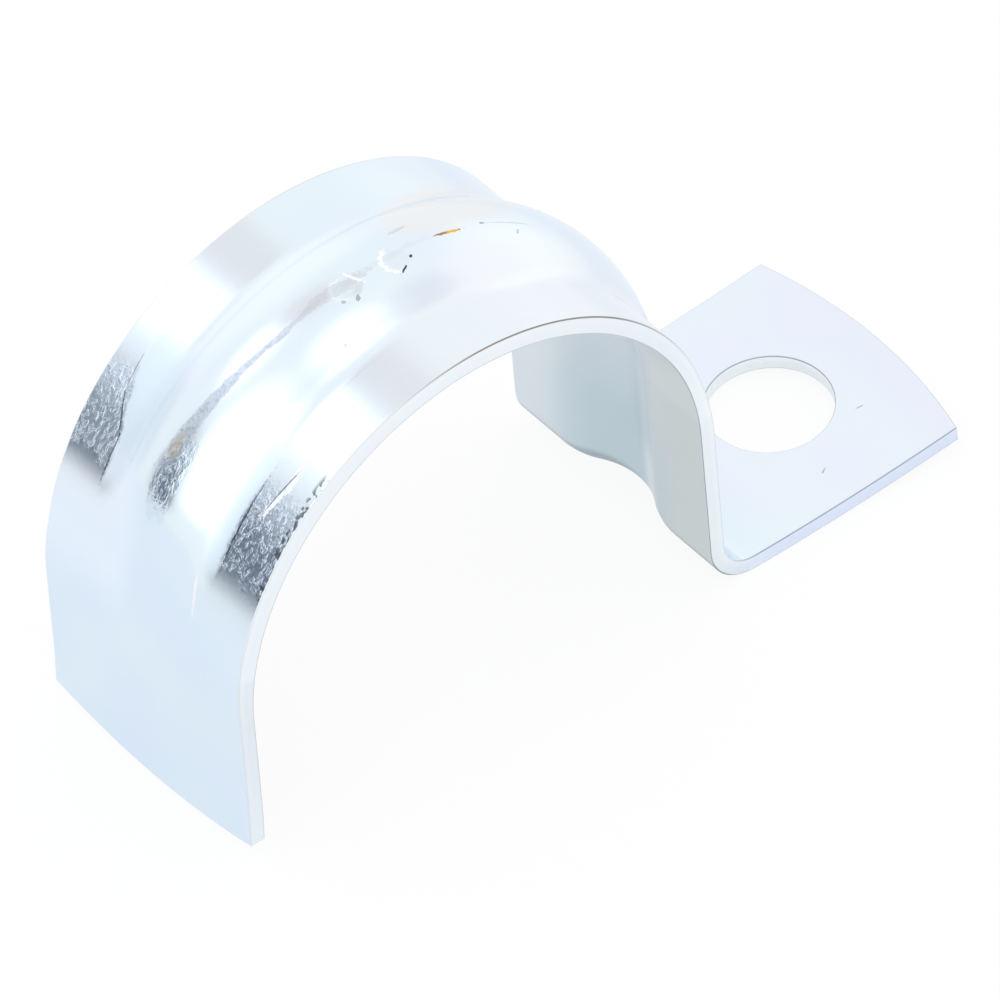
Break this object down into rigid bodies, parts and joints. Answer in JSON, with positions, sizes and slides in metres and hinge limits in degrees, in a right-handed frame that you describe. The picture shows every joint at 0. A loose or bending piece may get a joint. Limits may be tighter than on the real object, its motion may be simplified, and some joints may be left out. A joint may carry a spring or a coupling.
{
  "type": "conduit strap",
  "caption": "Pressed sheet-steel strap that holds a conduit to a wall: a ribbed round saddle between a free leg and a flat foot with a screw hole.",
  "frame": {"origin": "centre of the screw hole on the underside of the foot", "axes": "+X towards the foot's tip, away from the conduit; +Y along the conduit; +Z away from the wall"},
  "size_m": [0.0573, 0.019, 0.0345],
  "materials": {
    "zinc_plated_steel": "bright zinc plate with a faint blue cast"
  },
  "bodies": {
    "root": {"strap": "zinc_plated_steel"}
  },
  "joints": []
}
